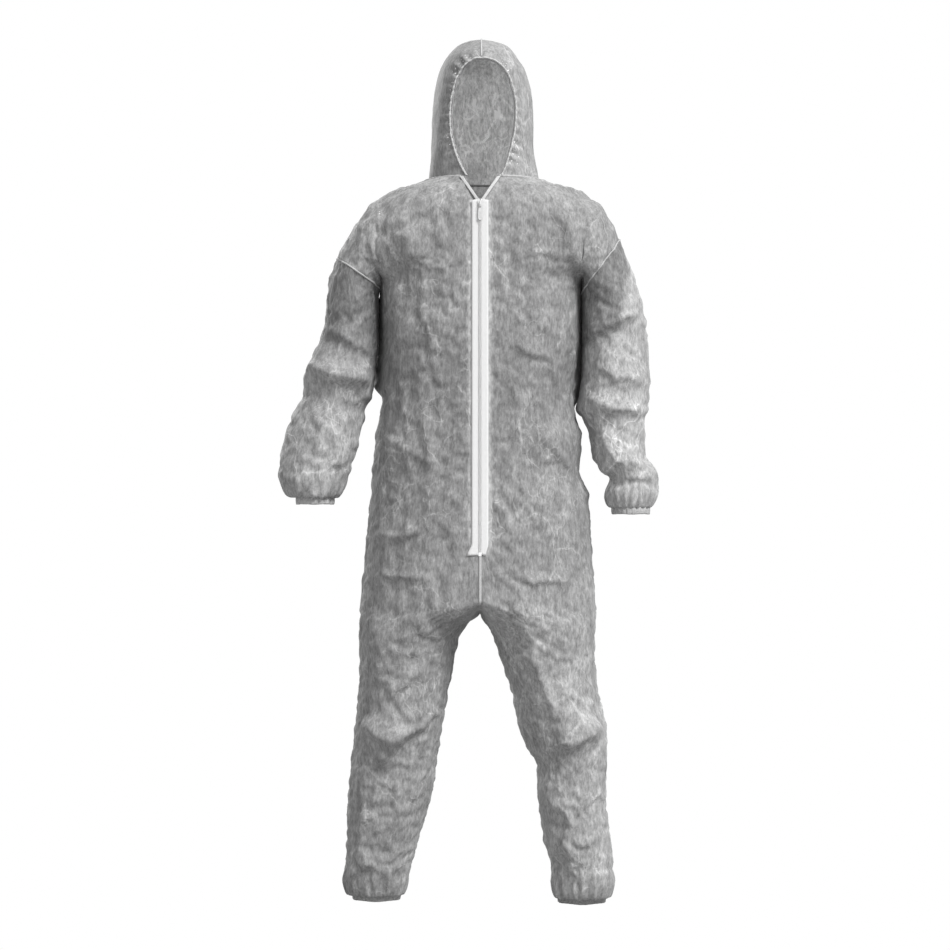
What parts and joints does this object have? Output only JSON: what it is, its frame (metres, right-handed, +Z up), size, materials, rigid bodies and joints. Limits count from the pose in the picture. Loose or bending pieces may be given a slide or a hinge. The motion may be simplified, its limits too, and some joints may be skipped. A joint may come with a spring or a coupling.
{
  "type": "chemical protective suit",
  "caption": "Hooded one-piece protective coverall with a front zip, elastic face opening, wrists and ankles, worn size, on bending limb sections.",
  "frame": {"origin": "middle of the neck seam, where the wearer's shoulders carry the suit", "axes": "+Z up along the body, the front faces -Y, +X is the wearer's left"},
  "size_m": [0.763, 0.3103, 1.748],
  "materials": {
    "nonwoven": "matte",
    "seam_thread": "matte",
    "elastic": "matte",
    "zip_tape": "matte",
    "zip_coil": "satin",
    "zip_slider": "satin"
  },
  "bodies": {
    "torso": {"torso_left": "nonwoven", "torso_right": "nonwoven", "neck_seam": "seam_thread", "waist_elastic": "elastic", "front_seam": "seam_thread", "back_seam": "seam_thread", "armhole_seam_left": "seam_thread", "armhole_seam_right": "seam_thread", "zip_tape_left": "zip_tape", "zip_tape_right": "zip_tape", "zip_chain_left": "zip_coil", "zip_chain_right": "zip_coil", "zip_top_stop_left": "zip_coil", "zip_top_stop_right": "zip_coil", "zip_bottom_stop": "zip_coil", "sleeve_upper_left": "nonwoven", "sleeve_upper_right": "nonwoven"},
    "hood": {"hood_left": "nonwoven", "hood_right": "nonwoven", "face_elastic": "elastic", "face_hem": "nonwoven", "hood_seam": "seam_thread"},
    "slider": {"zip_slider": "zip_slider"},
    "pull_tab": {"zip_pull_tab": "zip_slider"},
    "lower_sleeve_left": {"sleeve_lower_left": "nonwoven", "wrist_hem_left": "nonwoven", "wrist_elastic_left": "elastic"},
    "thigh_left": {"leg_upper_left": "nonwoven"},
    "shin_left": {"leg_lower_left": "nonwoven", "ankle_hem_left": "nonwoven", "ankle_elastic_left": "elastic"},
    "lower_sleeve_right": {"sleeve_lower_right": "nonwoven", "wrist_hem_right": "nonwoven", "wrist_elastic_right": "elastic"},
    "thigh_right": {"leg_upper_right": "nonwoven"},
    "shin_right": {"leg_lower_right": "nonwoven", "ankle_hem_right": "nonwoven", "ankle_elastic_right": "elastic"}
  },
  "joints": [
    {"name": "zip_slide", "type": "slide", "parent": "torso", "child": "slider", "axis": [0, 0, -1], "range_m": [0, 0.68]},
    {"name": "pull_tab_turn", "type": "hinge", "parent": "slider", "child": "pull_tab", "pos_m": [0, -0.15545, -0.0605], "axis": [-1, 0, 0], "range_deg": [0, 165]},
    {"name": "hood_fold_back", "type": "hinge", "parent": "torso", "child": "hood", "pos_m": [0, -0.03, 0], "axis": [-1, 0, 0], "range_deg": [0, 30]},
    {"name": "elbow_bend_left", "type": "hinge", "parent": "torso", "child": "lower_sleeve_left", "pos_m": [0.277, -0.006, -0.4], "axis": [-1, 0, 0], "range_deg": [0, 90]},
    {"name": "hip_bend_left", "type": "hinge", "parent": "torso", "child": "thigh_left", "pos_m": [0.119, 0, -0.871], "axis": [-1, 0, 0], "range_deg": [0, 30]},
    {"name": "knee_bend_left", "type": "hinge", "parent": "thigh_left", "child": "shin_left", "pos_m": [0.156, -0.007, -1.06], "axis": [1, 0, 0], "range_deg": [0, 75]},
    {"name": "elbow_bend_right", "type": "hinge", "parent": "torso", "child": "lower_sleeve_right", "pos_m": [-0.281, -0.011, -0.4], "axis": [-1, 0, 0], "range_deg": [0, 90]},
    {"name": "hip_bend_right", "type": "hinge", "parent": "torso", "child": "thigh_right", "pos_m": [-0.131, 0, -0.871], "axis": [-1, 0, 0], "range_deg": [0, 30]},
    {"name": "knee_bend_right", "type": "hinge", "parent": "thigh_right", "child": "shin_right", "pos_m": [-0.155, -0.007, -1.06], "axis": [1, 0, 0], "range_deg": [0, 75]}
  ]
}
